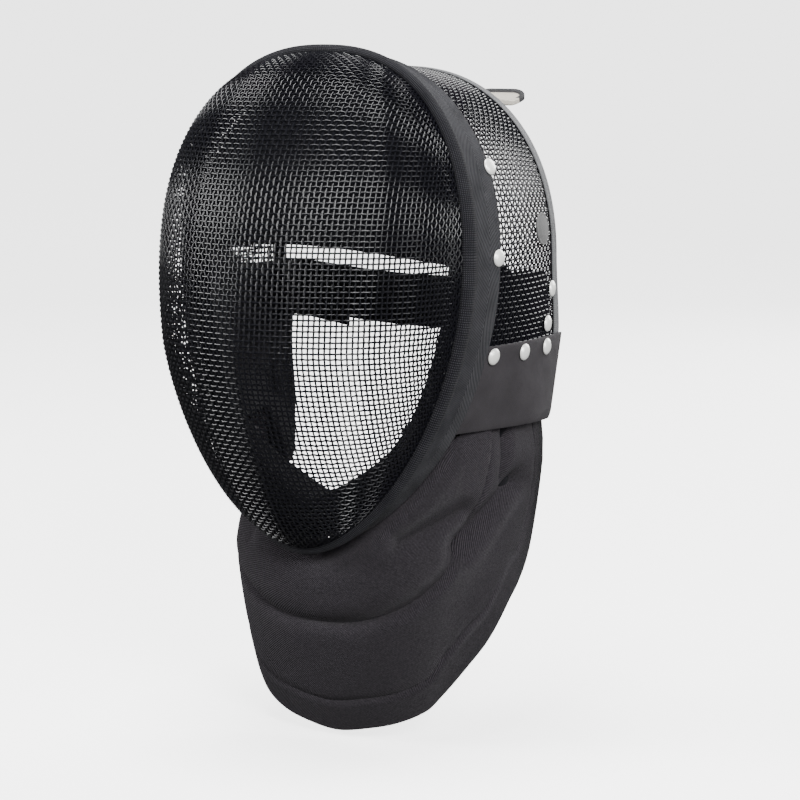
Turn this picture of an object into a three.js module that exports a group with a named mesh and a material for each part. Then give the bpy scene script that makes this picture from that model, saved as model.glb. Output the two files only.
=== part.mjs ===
// A fencing mask: a deep front and a shallow hood of woven wire, joined under a tape trim around the
// face, with padding inside, a strap and a spring tongue behind, and a padded bib below.
// Millimetres. +X is the wearer's left, -Y the face, +Z up. Sizes are first worked out from the rim's
// widest level, at the ears, and the whole is then moved so that the top of the head is the origin.
import * as THREE from "three";

// Rim, the closed line around the face where the front and the hood meet
const rimHalfWidth = 93;
const rimTopHeight = 118;
const rimChinDepth = 167;
const rimTopPower = 2.36;
const rimChinPower = 1.84;
const rimTopBack = 3;
const rimChinForward = 24;

// Front, a creased dome of woven wire
const wireWall = 2;
const domeDepth = 88;
const domeDeepestDrop = 46;
const domeUpperPower = 2.03;
const domeLowerPower = 1.38;
const domeSectionPower = 2.36;
const creaseShare = 0.15;

// Hood, the woven wire behind the rim, from ear to ear over the head
const hoodDepth = 115;
const hoodRearHalfWidth = 96.5;
const hoodRearTopHeight = 108.5;
const hoodRearPower = 2.3;
const hoodBulge = 7.5;
const hoodTopLean = 12;
const hoodLowerReach = 4;
const tabLean = 0.3;
const hoodBottom = -97;
const hoodJointGap = 0.4;

// Tape trim over the joint, with a bead along its front edge
const trimWidth = 30;
const trimThickness = 2.6;
const trimBeadHeight = 5.8;
const trimTopShare = 0.75;
const trimChinShare = 0.55;

// Tape folded over the hood's rear edge
const bindingWidth = 6.5;
const bindingThickness = 1.2;

// Bib, a padded apron below the chin that is open behind
const bibAxisBack = 75;
const bibTopHalfWidth = 96.5;
const bibBottomNarrowing = 22.5;
const bibNarrowingPower = 2.25;
const bibFrontForward = 11.5;
const bibFrontCurl = 28.5;
const bibSectionPower = 2.1;
const bibShoulder = -58;
const bibSeam = -101;
const bibChin = -172;
const bibBottom = -286;
const bibThickness = 6;
const bibEdgeAngle = 107.4;
const bibTrimMargin = 1;

// Channels sewn into the bib
const channelDrop = -215.5;
const channelAngle = 73.5;
const channelDepth = 3.5;
const channelHalfWidth = 6;
const quiltRise = 2.5;
const hemHeight = 20;
const hemDepth = 1.4;
const hemHalfWidth = 2.5;

// Stiff tabs that carry the bib's upper corners
const tabTop = -50;
const tabThickness = 1.6;
const tabOverhang = 0.8;
const tabGap = 1.3;

// Padding, set in from the wire so that the woven surface shows between
const padGap = 1.3;
const padThickness = 10;
const crownPadThickness = 12;
const crownPadFrontReach = 66;
const crownPadCentreBack = 30;
const crownPadEdge = 9.5;
const crownPadEdgeSag = 15;
const cheekPadTop = -12;
const cheekPadBottom = -99.6;
const cheekPadRear = 107;
const chinPadHeight = 25;
const chinPadDepth = 44;
const chinPadEndDepth = 24;

// Strap behind the head, in two overlapped halves
const strapTop = -12;
const strapSag = 9;
const strapHeight = 33;
const strapThickness = 2;
const strapLayerGap = 1;
const strapBow = 30;
const strapOverlapStart = -84;
const strapShortEnd = -62;

// Spring tongue at the top of the hood's rear edge
const tongueWidth = 36;
const tongueThickness = 2.4;
const tongueCorner = 10;
const tongueReach = 128;
const tongueDrop = 16;
const tongueLip = 5;
const tongueSeat = 22;
const tongueGap = 3.2;
const tongueEdgeWidth = 3;
const tongueEdgeThickness = 3.4;

// Rivets and discs
const rivetRadius = 5;
const rivetHeight = 2.2;
const discRadius = 9.7;
const discThickness = 1.2;

// Gap between touching pieces, and between a tape and the curved wire under it
const clearance = 0.4;
const tapeGap = 0.6;

const smooth = (x) => {
  const t = Math.min(Math.max(x, 0), 1);
  return t * t * (3 - 2 * t);
};
const lerp = (a, b, t) => a + (b - a) * t;
const signedPower = (x, p) => Math.sign(x) * Math.abs(x) ** p;
const radians = (degrees) => (degrees * Math.PI) / 180;
const steps = (n) => Array.from({ length: n + 1 }, (_, i) => i / n);

// A closed mesh from points and faces: equal points are joined, empty faces dropped, and the faces
// turned to point outwards.
function closedGeometry(points, faces) {
  const index = new Map();
  const kept = [];
  const place = points.map((p) => {
    const key = p.map((c) => Math.round(c * 1000)).join(",");
    if (!index.has(key)) {
      index.set(key, kept.length);
      kept.push(p);
    }
    return index.get(key);
  });
  const triangles = faces
    .map((face) => face.map((i) => place[i]))
    .filter(([a, b, c]) => a !== b && b !== c && c !== a);
  let volume = 0;
  for (const [a, b, c] of triangles) {
    const [p, q, r] = [kept[a], kept[b], kept[c]].map((v) => new THREE.Vector3(...v));
    volume += p.dot(q.cross(r)) / 6;
  }
  const facing = volume > 0 ? triangles : triangles.map(([a, b, c]) => [a, c, b]);
  const geometry = new THREE.BufferGeometry();
  geometry.setAttribute("position", new THREE.Float32BufferAttribute(kept.flat(), 3));
  geometry.setIndex(facing.flat());
  geometry.computeVertexNormals();
  return geometry;
}

// A wall between an outer and an inner surface, both given by at(u, v, side) with side 0 outside
function wall(us, vs, at) {
  const points = [];
  const faces = [];
  const columns = us.length;
  const rows = vs.length;
  for (const side of [0, 1]) {
    for (const v of vs) {
      for (const u of us) {
        points.push(at(u, v, side));
      }
    }
  }
  const id = (i, j, side) => side * columns * rows + j * columns + i;
  const quad = (a, b, c, d) => faces.push([a, b, c], [a, c, d]);
  for (let j = 0; j < rows - 1; j++) {
    for (let i = 0; i < columns - 1; i++) {
      quad(id(i, j, 0), id(i + 1, j, 0), id(i + 1, j + 1, 0), id(i, j + 1, 0));
      quad(id(i, j, 1), id(i, j + 1, 1), id(i + 1, j + 1, 1), id(i + 1, j, 1));
    }
  }
  for (let i = 0; i < columns - 1; i++) {
    quad(id(i, 0, 0), id(i, 0, 1), id(i + 1, 0, 1), id(i + 1, 0, 0));
    quad(id(i, rows - 1, 0), id(i + 1, rows - 1, 0), id(i + 1, rows - 1, 1), id(i, rows - 1, 1));
  }
  for (let j = 0; j < rows - 1; j++) {
    quad(id(0, j, 0), id(0, j + 1, 0), id(0, j + 1, 1), id(0, j, 1));
    quad(id(columns - 1, j, 0), id(columns - 1, j, 1), id(columns - 1, j + 1, 1), id(columns - 1, j + 1, 0));
  }
  return closedGeometry(points, faces);
}

// A tape along a path: at(u, corner) places the corners of its section, and section gives the same
// corners flat, to close the two ends
function tape(us, section, at, ring = false) {
  const n = section.length;
  const points = us.flatMap((u) => section.map((corner) => at(u, corner)));
  const faces = [];
  const last = ring ? us.length : us.length - 1;
  for (let i = 0; i < last; i++) {
    const here = i * n;
    const next = ((i + 1) % us.length) * n;
    for (let k = 0; k < n; k++) {
      const l = (k + 1) % n;
      faces.push([here + k, here + l, next + l], [here + k, next + l, next + k]);
    }
  }
  if (!ring) {
    const flat = section.map(([x, y]) => new THREE.Vector2(x, y));
    const end = (us.length - 1) * n;
    const turn = THREE.ShapeUtils.area(flat) > 0 ? 1 : -1;
    for (const [a, b, c] of THREE.ShapeUtils.triangulateShape(flat, [])) {
      faces.push(turn > 0 ? [a, c, b] : [a, b, c]);
      faces.push(turn > 0 ? [end + a, end + b, end + c] : [end + a, end + c, end + b]);
    }
  }
  return closedGeometry(points, faces);
}

// Rim point at angle t, anticlockwise from the wearer's left, and the outline's outward direction there
function rim(t) {
  const c = Math.cos(t);
  const s = Math.sin(t);
  const upper = s >= 0;
  const power = upper ? rimTopPower : rimChinPower;
  const height = upper ? rimTopHeight : rimChinDepth;
  const x = rimHalfWidth * signedPower(c, 2 / power);
  const z = height * signedPower(s, 2 / power);
  const gx = signedPower(x / rimHalfWidth, power - 1) / rimHalfWidth;
  const gz = signedPower(z / height, power - 1) / height;
  const g = Math.hypot(gx, gz);
  return { x, y: rimBack(z), z, nx: gx / g, nz: gz / g, rise: z / height };
}
function rimBack(z) {
  return z >= 0 ? rimTopBack * (z / rimTopHeight) ** 2 : -rimChinForward * (z / rimChinDepth) ** 2;
}
// The rim's angle at a level below the ears, on the wearer's left
function rimAngle(z) {
  return -Math.asin((-z / rimChinDepth) ** (rimChinPower / 2));
}

// Hood surface behind the rim: v runs from the rim at 0 to the rear edge at 1, and out is the height
// above the surface. Below the ears the hood flares from the narrowing rim to its full width.
function hood(t, v, out = 0) {
  const r = rim(t);
  const c = Math.cos(t);
  const s = Math.sin(t);
  const rear = { x: hoodRearHalfWidth * signedPower(c, 2 / hoodRearPower), z: 0, y: 0 };
  let ease = v;
  if (s >= 0) {
    rear.z = lerp(0, hoodRearTopHeight, signedPower(s, 2 / hoodRearPower));
  } else {
    const fade = Math.min(Math.abs(c) / Math.cos(rimAngle(hoodBottom)), 1) ** 2;
    rear.x = lerp(r.x, Math.sign(c) * hoodRearHalfWidth, fade);
    rear.z = r.z;
    ease = lerp(v, v * v * (3 - 2 * v), Math.min(-s / Math.sin(-rimAngle(hoodBottom)), 1));
  }
  rear.y = hoodRearBack(rear.z);
  const bulge = hoodBulge * 4 * v * (1 - v) * (1 - r.rise ** 2);
  return [
    lerp(r.x, rear.x, ease) + r.nx * (bulge + out),
    lerp(r.y + hoodJointGap, rear.y, v),
    lerp(r.z, rear.z, v) + r.nz * (bulge + out),
  ];
}
// The rear edge leans forward to the top, and turns forward again under the tabs
function hoodRearBack(z) {
  const upper = -hoodTopLean * Math.max(z / hoodRearTopHeight, 0) ** 1.2;
  const lower = hoodLowerReach * smooth(z / tabTop);
  const turn = Math.max(tabTop - z, 0) * tabLean;
  return hoodDepth + upper + lower - turn;
}
const hoodLength = (t) => hood(t, 1)[1] - hood(t, 0)[1];

// Front dome: u runs across from the wearer's right rim at -1 to the left rim at 1, v from top to chin
function dome(u, v, inset) {
  const top = rimTopHeight - inset;
  const chin = rimChinDepth - inset;
  const half = rimHalfWidth - inset;
  const z = lerp(top, -chin, (1 - Math.cos(Math.PI * v)) / 2);
  const share = z >= 0 ? z / top : -z / chin;
  const power = z >= 0 ? rimTopPower : rimChinPower;
  const width = half * Math.max(1 - share ** power, 0) ** (1 / power);
  const fromDeepest = z + domeDeepestDrop;
  const reach = fromDeepest >= 0 ? top + domeDeepestDrop : chin - domeDeepestDrop;
  const depthPower = fromDeepest >= 0 ? domeUpperPower : domeLowerPower;
  const depthShare = Math.max(1 - Math.abs(fromDeepest / reach) ** depthPower, 0) ** (1 / depthPower);
  const across = Math.sin((Math.PI / 2) * u);
  const round = Math.max(1 - Math.abs(across) ** domeSectionPower, 0) ** (1 / domeSectionPower);
  const section = lerp(round, 1 - Math.abs(across), creaseShare);
  return [width * across, rimBack(z) - (domeDepth - inset) * depthShare * section, z];
}
function frontMesh() {
  return wall(steps(20).map((u) => 2 * u - 1), steps(20), (u, v, side) => dome(u, v, side * wireWall));
}

const bindingEnd = rimAngle(tabTop + 2.5);
const hoodAngles = [
  ...steps(42).map((u) => lerp(rimAngle(hoodBottom), Math.PI - rimAngle(hoodBottom), u)),
  bindingEnd,
  Math.PI - bindingEnd,
].sort((a, b) => a - b);
function backMesh() {
  return wall(hoodAngles, steps(5), (t, v, side) => hood(t, v, -side * wireWall));
}

// Section of the trim: back is the distance behind the rim, rise the height above the hood
const trimSection = [
  { back: -1.0, rise: tapeGap },
  { back: -1.6, rise: 2.6 },
  { back: 0.2, rise: trimBeadHeight - 0.8 },
  { back: 3.4, rise: trimBeadHeight },
  { back: 6.8, rise: trimBeadHeight - 1.3 },
  { back: 8.6, rise: trimThickness + tapeGap },
  { back: trimWidth / 2, rise: trimThickness + tapeGap },
  { back: trimWidth, rise: trimThickness + tapeGap },
  { back: trimWidth, rise: tapeGap },
  { back: trimWidth / 2, rise: tapeGap },
  { back: 6, rise: tapeGap },
];
function trimShare(t) {
  const share = Math.abs(rim(t).rise) ** 2;
  return lerp(1, Math.sin(t) >= 0 ? trimTopShare : trimChinShare, share);
}
function rimTrim() {
  const us = steps(56).slice(0, -1).map((u) => 2 * Math.PI * u - Math.PI / 2);
  const section = trimSection.map(({ back, rise }) => [back, rise]);
  return tape(us, section, (t, [back, rise]) => hood(t, (back * trimShare(t)) / hoodLength(t), rise), true);
}

// Tape folded over the rear edge: reach is the distance past the edge
function edgeBinding() {
  const us = hoodAngles.filter((t) => t >= bindingEnd && t <= Math.PI - bindingEnd);
  const outer = tapeGap + bindingThickness;
  const section = [
    [-bindingWidth, tapeGap],
    [-bindingWidth, outer],
    [outer, outer],
    [outer, -wireWall - outer],
    [-bindingWidth, -wireWall - outer],
    [-bindingWidth, -wireWall - tapeGap],
    [tapeGap, -wireWall - tapeGap],
    [tapeGap, tapeGap],
  ];
  return tape(us, section, (t, [reach, out]) => hood(t, 1 + reach / hoodLength(t), out));
}

// Bib surface at an angle from the front about an upright axis, and at a level. Past the sides it runs
// straight back. inset is the depth below the surface.
function bibPoint(angle, z, inset = 0) {
  const a = Math.abs(angle);
  const drop = Math.min(Math.max((bibShoulder - z) / (bibShoulder - bibBottom), 0), 1);
  const full = bibTopHalfWidth - bibBottomNarrowing * drop ** bibNarrowingPower;
  const half = full - inset;
  const curl = bibFrontCurl * (Math.max(bibChin - z, 0) / (bibChin - bibBottom)) ** 2;
  const front = bibAxisBack + bibFrontForward - curl - inset;
  const side = Math.sign(angle);
  if (a > Math.PI / 2) {
    return [side * half, bibAxisBack + full * Math.tan(a - Math.PI / 2), z];
  }
  const sx = Math.abs(Math.sin(a) / half) ** bibSectionPower;
  const sy = Math.abs(Math.cos(a) / front) ** bibSectionPower;
  const r = (sx + sy) ** (-1 / bibSectionPower);
  return [side * r * Math.sin(a), bibAxisBack - r * Math.cos(a), z];
}
// How far the trim reaches out from the rim, at its bead or at its rear edge
function trimReach(t) {
  const r = rim(t);
  const [x, , z] = hood(t, (trimWidth * trimShare(t)) / hoodLength(t), trimThickness + tapeGap);
  return Math.max(trimBeadHeight, (x - r.x) * r.nx + (z - r.z) * r.nz);
}
// The bib's upper edge follows the trim's outline around the chin, and is level under the tabs
function bibUpperEdge(angle, inset = 0) {
  let [chin, ear] = [-Math.PI / 2, 0];
  let z = bibSeam;
  for (let i = 0; i < 30; i++) {
    const t = (chin + ear) / 2;
    const r = rim(t);
    const out = trimReach(t) + bibTrimMargin;
    z = r.z + r.nz * out;
    if (r.x + r.nx * out < Math.abs(bibPoint(angle, z, inset)[0])) {
      chin = t;
    } else {
      ear = t;
    }
  }
  return Math.min(z, bibSeam - clearance);
}
// The free lower edge, by the angle from the front and the share of the height from seam to bottom
const bibEdge = [
  { angle: 0, drop: 1 },
  { angle: 22, drop: 0.981 },
  { angle: 37.5, drop: 0.957 },
  { angle: 51, drop: 0.914 },
  { angle: 57, drop: 0.865 },
  { angle: 67.6, drop: 0.773 },
  { angle: 77.4, drop: 0.697 },
  { angle: 89, drop: 0.584 },
  { angle: 96, drop: 0.524 },
  { angle: 101.7, drop: 0.432 },
  { angle: 104.5, drop: 0.303 },
  { angle: 107.4, drop: 0.1 },
];
function bibLowerEdge(angle) {
  const degrees = Math.min((Math.abs(angle) * 180) / Math.PI, bibEdgeAngle);
  const i = Math.min(Math.max(bibEdge.findIndex((row) => row.angle >= degrees), 1), bibEdge.length - 1);
  const [a, b] = [bibEdge[i - 1], bibEdge[i]];
  return lerp(bibSeam, bibBottom, lerp(a.drop, b.drop, (degrees - a.angle) / (b.angle - a.angle)));
}
// Height of the sewn relief: a channel around the throat with a fuller quilt above it, two soft folds
// that run into it, and the hem
const bibFolds = [
  { fromAngle: 35, fromZ: -165, toAngle: 62, toZ: -147.5, depth: 3.5, halfWidth: 7 },
  { fromAngle: 66, fromZ: -157, toAngle: 88, toZ: -139, depth: 4, halfWidth: 8 },
  { fromAngle: 84, fromZ: -103, toAngle: 82, toZ: -128, depth: 2, halfWidth: 6 },
];
function bibRelief(angle, z) {
  const degrees = (Math.abs(angle) * 180) / Math.PI;
  const reach = Math.max(1 - (degrees / channelAngle) ** 2.5, 0) ** 0.5;
  const channel = lerp(bibSeam, channelDrop, reach);
  const mmPerDegree = radians(bibTopHalfWidth);
  const sideways = degrees < channelAngle ? Infinity : (degrees - channelAngle) * mmPerDegree;
  const slope = Math.min(1, 0.35 + reach);
  const away = Math.min(Math.abs(z - channel) * slope, Math.hypot(sideways, Math.max(bibSeam - z, 0)));
  const inside = degrees < channelAngle && z > channel;
  let relief = -channelDepth * Math.exp(-((away / channelHalfWidth) ** 2));
  relief += inside ? quiltRise * smooth(away / (3 * channelHalfWidth)) * smooth((bibUpperEdge(angle) - z) / 20) : 0;
  for (const fold of bibFolds) {
    const along = (fold.toAngle - fold.fromAngle) * mmPerDegree;
    const up = fold.toZ - fold.fromZ;
    const dx = (degrees - fold.fromAngle) * mmPerDegree;
    const dz = z - fold.fromZ;
    const t = Math.min(Math.max((dx * along + dz * up) / (along ** 2 + up ** 2), 0), 1);
    const gap = Math.hypot(dx - t * along, dz - t * up);
    relief -= fold.depth * Math.exp(-((gap / fold.halfWidth) ** 2));
  }
  const hem = z - bibLowerEdge(angle) - hemHeight;
  return relief - hemDepth * Math.exp(-((hem / hemHalfWidth) ** 2));
}
function bib() {
  const edge = radians(bibEdgeAngle);
  const us = steps(44).map((u) => edge * (2 * u - 1));
  return wall(us, steps(15), (angle, v, side) => {
    const z = lerp(bibUpperEdge(angle, side * bibThickness), bibLowerEdge(angle), v);
    return bibPoint(angle, z, side * bibThickness - bibRelief(angle, z) * (1 - side));
  });
}

function bibTab(side) {
  const front = (t) => (trimWidth * trimShare(t) + 1) / hoodLength(t);
  const rear = (t) => 1 + tabOverhang / hoodLength(t);
  return wall(steps(8), steps(4), (u, v, face) => {
    const level = lerp(tabTop, bibSeam, v);
    const t = rimAngle(level);
    const [x, y] = hood(t, lerp(front(t), rear(t), u), tabGap + (1 - face) * tabThickness);
    return [side * x, y, level];
  });
}

// Crown pad: the front quarter of an egg inside the hood's top, with an arched edge over the brow
const crownPadShare = crownPadCentreBack / hoodDepth;
const crownPadTop = hood(Math.PI / 2, crownPadShare, -wireWall - padGap)[2];
const crownPadHalfWidth = hood(0, crownPadShare, -wireWall - padGap)[0];
function crownPad() {
  return wall(steps(20), steps(8), (u, v, side) => {
    const inset = side * crownPadThickness;
    const around = Math.PI * (u - 0.5);
    const half = crownPadHalfWidth - inset;
    const x0 = half * Math.sin(around);
    const low = crownPadEdge - crownPadEdgeSag * (x0 / crownPadHalfWidth) ** 2;
    const rise = lerp(Math.asin(low / (crownPadTop - inset)), Math.PI / 2, v);
    return [
      x0 * Math.cos(rise),
      crownPadCentreBack - (crownPadFrontReach - inset) * Math.cos(around) * Math.cos(rise),
      (crownPadTop - inset) * Math.sin(rise),
    ];
  });
}

function cheekPad(side) {
  const outer = wireWall + padGap;
  return wall(steps(7), steps(6), (u, v, face) => {
    const t = rimAngle(lerp(cheekPadTop, cheekPadBottom, v));
    const back = lerp(2 * padGap, cheekPadRear - rim(t).y, u);
    const [x, y, z] = hood(t, back / hoodLength(t), -outer - face * padThickness);
    return [side * x, y, z];
  });
}

// Chin pad: a V along the rim, as deep as the cheek pads at its ends and deepest at the chin
function chinPad() {
  const start = rimAngle(cheekPadBottom - 2);
  const us = steps(24).map((u) => lerp(start, -Math.PI - start, u));
  return wall(us, steps(3), (t, v, face) => {
    const r = rim(t);
    const low = smooth((Math.abs(r.rise) - 0.6) / 0.4);
    const inset = wireWall + clearance + face * lerp(padThickness, chinPadHeight, low);
    const back = lerp(padGap, lerp(chinPadEndDepth, chinPadDepth, low), v);
    return [r.x - inset * r.nx, r.y + back, r.z - inset * r.nz];
  });
}

// Strap halves: an arch behind the head, seated on the cheek pads. place is the share of the way from
// the wearer's left end at 0 to the right end at 1.
const strapSeat = hood(rimAngle(strapTop), 0.92, -wireWall - padGap - padThickness - clearance);
function strapHalf(from, to, inset) {
  return wall(steps(14), steps(1), (u, v, side) => {
    const angle = Math.PI * lerp(from, to, u);
    const half = strapSeat[0] - inset - side * strapThickness;
    const bow = strapBow - inset - side * strapThickness;
    const sag = strapSag * Math.sin(angle) ** 2;
    return [half * Math.cos(angle), strapSeat[1] + bow * Math.sin(angle), strapTop - sag - v * strapHeight];
  });
}
const strapPlace = (x) => Math.acos(x / strapSeat[0]) / Math.PI;

// Tongue: a sprung plate from under the hood's rear edge, sloping down behind the head
const tongueRoot = hood(Math.PI / 2, 1, -wireWall - bindingThickness);
function tonguePoint(along, x, up) {
  const share = Math.max(along - tongueSeat, 0) / tongueReach;
  const fall = tongueDrop * smooth(share / 0.85) - tongueLip * Math.max((share - 0.8) / 0.2, 0) ** 1.5;
  return [x, tongueRoot[1] - tongueSeat + along, tongueRoot[2] - tongueGap - fall + up];
}
const tongueLength = tongueSeat + tongueReach;
const tongueStraight = tongueLength - tongueCorner;
function tongue() {
  const half = tongueWidth / 2;
  const alongs = [...steps(12).map((v) => tongueStraight * v), ...steps(4).slice(1).map((v) =>
    tongueStraight + tongueCorner * Math.sin((Math.PI / 2) * v))];
  return wall(steps(4).map((u) => 2 * u - 1), alongs, (u, along, side) => {
    const past = Math.max(along - tongueStraight, 0);
    const width = half - tongueCorner + Math.sqrt(Math.max(tongueCorner ** 2 - past ** 2, 0));
    return tonguePoint(along, u * width, -side * tongueThickness);
  });
}
// Tape around the tongue's two sides and end
function tongueEdge() {
  const half = tongueWidth / 2 - tongueCorner;
  const side = steps(12).slice(0, -1).map((v) => ({ along: tongueStraight * v, turn: 0, x: 1 }));
  const corner = steps(4).map((v) => ({ along: tongueStraight, turn: (Math.PI / 2) * v, x: 1 }));
  const right = [...side, ...corner];
  const left = right.toReversed().map((p) => ({ ...p, x: -1 }));
  const section = [
    [clearance, 0],
    [clearance + tongueEdgeWidth, 0],
    [clearance + tongueEdgeWidth, -tongueEdgeThickness],
    [clearance, -tongueEdgeThickness],
  ];
  const lift = (tongueEdgeThickness - tongueThickness) / 2;
  return tape([...right, ...left], section, ({ along, turn, x }, [out, up]) => {
    const reach = tongueCorner + out;
    return tonguePoint(along + reach * Math.sin(turn), x * (half + reach * Math.cos(turn)), up + lift);
  });
}

// A low dome head that stands on the surface at a point, facing along its normal
const rivetProfile = [
  new THREE.Vector2(0, 0),
  new THREE.Vector2(rivetRadius, 0),
  new THREE.Vector2(rivetRadius * 0.92, rivetHeight * 0.45),
  new THREE.Vector2(rivetRadius * 0.6, rivetHeight * 0.85),
  new THREE.Vector2(0, rivetHeight),
];
function standOn(mesh, side, level, share, out) {
  const t = level >= 0 ? Math.asin((level / rimTopHeight) ** (rimTopPower / 2)) : rimAngle(level);
  const step = 0.01;
  const at = (dt, dv) => new THREE.Vector3(...hood(t + dt, share + dv, out));
  const alongT = at(step, 0).sub(at(-step, 0));
  const alongV = at(0, step).sub(at(0, -step));
  const normal = alongV.cross(alongT).normalize();
  const place = at(0, 0);
  if (side < 0) {
    place.x = -place.x;
    normal.x = -normal.x;
  }
  mesh.quaternion.setFromUnitVectors(new THREE.Vector3(0, 1, 0), normal);
  mesh.position.copy(place);
  return mesh;
}
// Where the rivets of one side stand: level from the ears, share of the way from rim to rear edge, and
// what lies under the head
const onTrim = trimThickness + tapeGap + clearance;
const onMesh = clearance;
const onTab = tabThickness + tabGap + clearance;
const rivets = [
  { level: 53, share: 0.26, under: onTrim },
  { level: 2, share: 0.235, under: onTrim },
  { level: -22, share: 0.9, under: onMesh },
  { level: -42, share: 0.825, under: onMesh },
  { level: -54, share: 0.285, under: onTab },
  { level: -54, share: 0.545, under: onTab },
  { level: -54, share: 0.78, under: onTab },
];
const disc = { level: 16, share: 0.76, under: onMesh };

const finish = {
  wire: { color: 0x23242b, roughness: 0.42, metalness: 0.35 },
  tape: { color: 0x2b2b31, roughness: 0.92, metalness: 0 },
  greyTape: { color: 0x85868c, roughness: 0.8, metalness: 0 },
  twill: { color: 0x2a2830, roughness: 0.95, metalness: 0 },
  padding: { color: 0x17171a, roughness: 0.97, metalness: 0 },
  web: { color: 0x1b1b1f, roughness: 0.9, metalness: 0 },
  tongueCloth: { color: 0xb9b3a8, roughness: 0.7, metalness: 0 },
  rivet: { color: 0xe4e3de, roughness: 0.25, metalness: 0.9 },
};
const mask = new THREE.Group();
const assembly = new THREE.Group();
mask.add(assembly);
function piece(name, geometry, look) {
  const mesh = new THREE.Mesh(geometry, new THREE.MeshStandardMaterial(finish[look]));
  mesh.name = name;
  assembly.add(mesh);
  return mesh;
}

piece("front_mesh", frontMesh(), "wire");
piece("back_mesh", backMesh(), "wire");
piece("rim_trim", rimTrim(), "tape");
piece("edge_binding", edgeBinding(), "greyTape");
piece("bib", bib(), "twill");
piece("crown_pad", crownPad(), "padding");
piece("chin_pad", chinPad(), "padding");
piece("back_strap_left", strapHalf(-0.04, strapPlace(strapOverlapStart), 0), "web");
piece("back_strap_right", strapHalf(strapPlace(strapShortEnd), 1.04, strapThickness + strapLayerGap), "web");
piece("tongue", tongue(), "tongueCloth");
piece("tongue_edge", tongueEdge(), "greyTape");
for (const { name, side } of [{ name: "left", side: 1 }, { name: "right", side: -1 }]) {
  piece(`bib_tab_${name}`, bibTab(side), "twill");
  piece(`cheek_pad_${name}`, cheekPad(side), "padding");
  rivets.forEach(({ level, share, under }, i) => {
    const head = piece(`rivet_${name}_${i + 1}`, new THREE.LatheGeometry(rivetProfile, 10), "rivet");
    standOn(head, side, level, share, under);
  });
  const plate = new THREE.CylinderGeometry(discRadius, discRadius, discThickness, 20);
  plate.translate(0, discThickness / 2, 0);
  standOn(piece(`side_disc_${name}`, plate, "greyTape"), side, disc.level, disc.share, disc.under);
}

// The origin is the inside of the crown pad, where the top of the head rests
assembly.position.set(0, -crownPadCentreBack, -(crownPadTop - crownPadThickness));

export default mask;
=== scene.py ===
import math
import bmesh
import bpy
from mathutils import Matrix, Vector


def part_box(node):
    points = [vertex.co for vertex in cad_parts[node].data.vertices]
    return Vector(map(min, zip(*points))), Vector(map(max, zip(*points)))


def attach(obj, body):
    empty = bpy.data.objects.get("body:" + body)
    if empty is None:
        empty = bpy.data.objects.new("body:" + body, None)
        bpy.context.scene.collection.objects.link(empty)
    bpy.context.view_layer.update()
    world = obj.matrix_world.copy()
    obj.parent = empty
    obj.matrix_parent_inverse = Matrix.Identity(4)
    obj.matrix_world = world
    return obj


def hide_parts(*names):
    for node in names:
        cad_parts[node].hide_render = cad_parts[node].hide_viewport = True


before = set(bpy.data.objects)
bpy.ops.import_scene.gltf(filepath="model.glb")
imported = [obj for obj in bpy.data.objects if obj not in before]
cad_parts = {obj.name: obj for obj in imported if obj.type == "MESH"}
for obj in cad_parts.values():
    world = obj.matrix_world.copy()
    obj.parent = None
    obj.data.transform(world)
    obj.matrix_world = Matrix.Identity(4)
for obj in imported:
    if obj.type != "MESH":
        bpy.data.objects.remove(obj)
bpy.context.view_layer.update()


# Front of the mask
# A dome of square steel wire cloth, pressed over a form and painted black, with a soft upright crease
# down its middle. The wires run up and across, over and under each other, and end under the tape trim.
# Sizes are in millimetres from the middle of the rim, which is the line where front and hood meet.
RIM_HALF_WIDTH = 93
RIM_TOP_HEIGHT = 118
RIM_CHIN_DEPTH = 167
RIM_TOP_POWER = 2.36
RIM_CHIN_POWER = 1.84
RIM_TOP_BACK = 3
RIM_CHIN_FORWARD = 24
DOME_DEPTH = 88
DOME_DEEPEST_DROP = 46
DOME_UPPER_POWER = 2.03
DOME_LOWER_POWER = 1.38
DOME_SECTION_POWER = 2.5
CREASE_SHARE = 0.15
WIRE_DIAMETER = 1.2
WIRE_PITCH = 3.1
WIRE_CLOTH_INSET = -0.3

front_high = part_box("front_mesh")[1]
SEAT_BACK = RIM_TOP_BACK - 1000 * front_high[1]
SEAT_UP = RIM_TOP_HEIGHT - 1000 * front_high[2]


def place(x, y, z):
    return Vector((x, y - SEAT_BACK, z - SEAT_UP)) * 0.001


def lerp(a, b, t):
    return a + (b - a) * t


def smooth(x):
    t = min(max(x, 0), 1)
    return t * t * (3 - 2 * t)


def signed_power(x, power):
    return math.copysign(abs(x) ** power, x)


def rim_back(z):
    if z >= 0:
        return RIM_TOP_BACK * (z / RIM_TOP_HEIGHT) ** 2
    return -RIM_CHIN_FORWARD * (z / RIM_CHIN_DEPTH) ** 2


def rim_outline(upper):
    if upper:
        return RIM_TOP_POWER, RIM_TOP_HEIGHT
    return RIM_CHIN_POWER, RIM_CHIN_DEPTH


def dome_back(x, z):
    # How far behind the middle of the rim the dome lies at a point seen from the front
    power, height = rim_outline(z >= 0)
    width = RIM_HALF_WIDTH * max(1 - (abs(z) / height) ** power, 0) ** (1 / power)
    deepest = z + DOME_DEEPEST_DROP
    upper = deepest >= 0
    reach = RIM_TOP_HEIGHT + DOME_DEEPEST_DROP if upper else RIM_CHIN_DEPTH - DOME_DEEPEST_DROP
    depth_power = DOME_UPPER_POWER if upper else DOME_LOWER_POWER
    depth = max(1 - abs(deepest / reach) ** depth_power, 0) ** (1 / depth_power)
    across = min(abs(x) / max(width, 1e-6), 1)
    section = (1 - across ** DOME_SECTION_POWER) ** (1 / DOME_SECTION_POWER)
    return rim_back(z) - DOME_DEPTH * depth * lerp(section, 1 - across, CREASE_SHARE)


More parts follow.
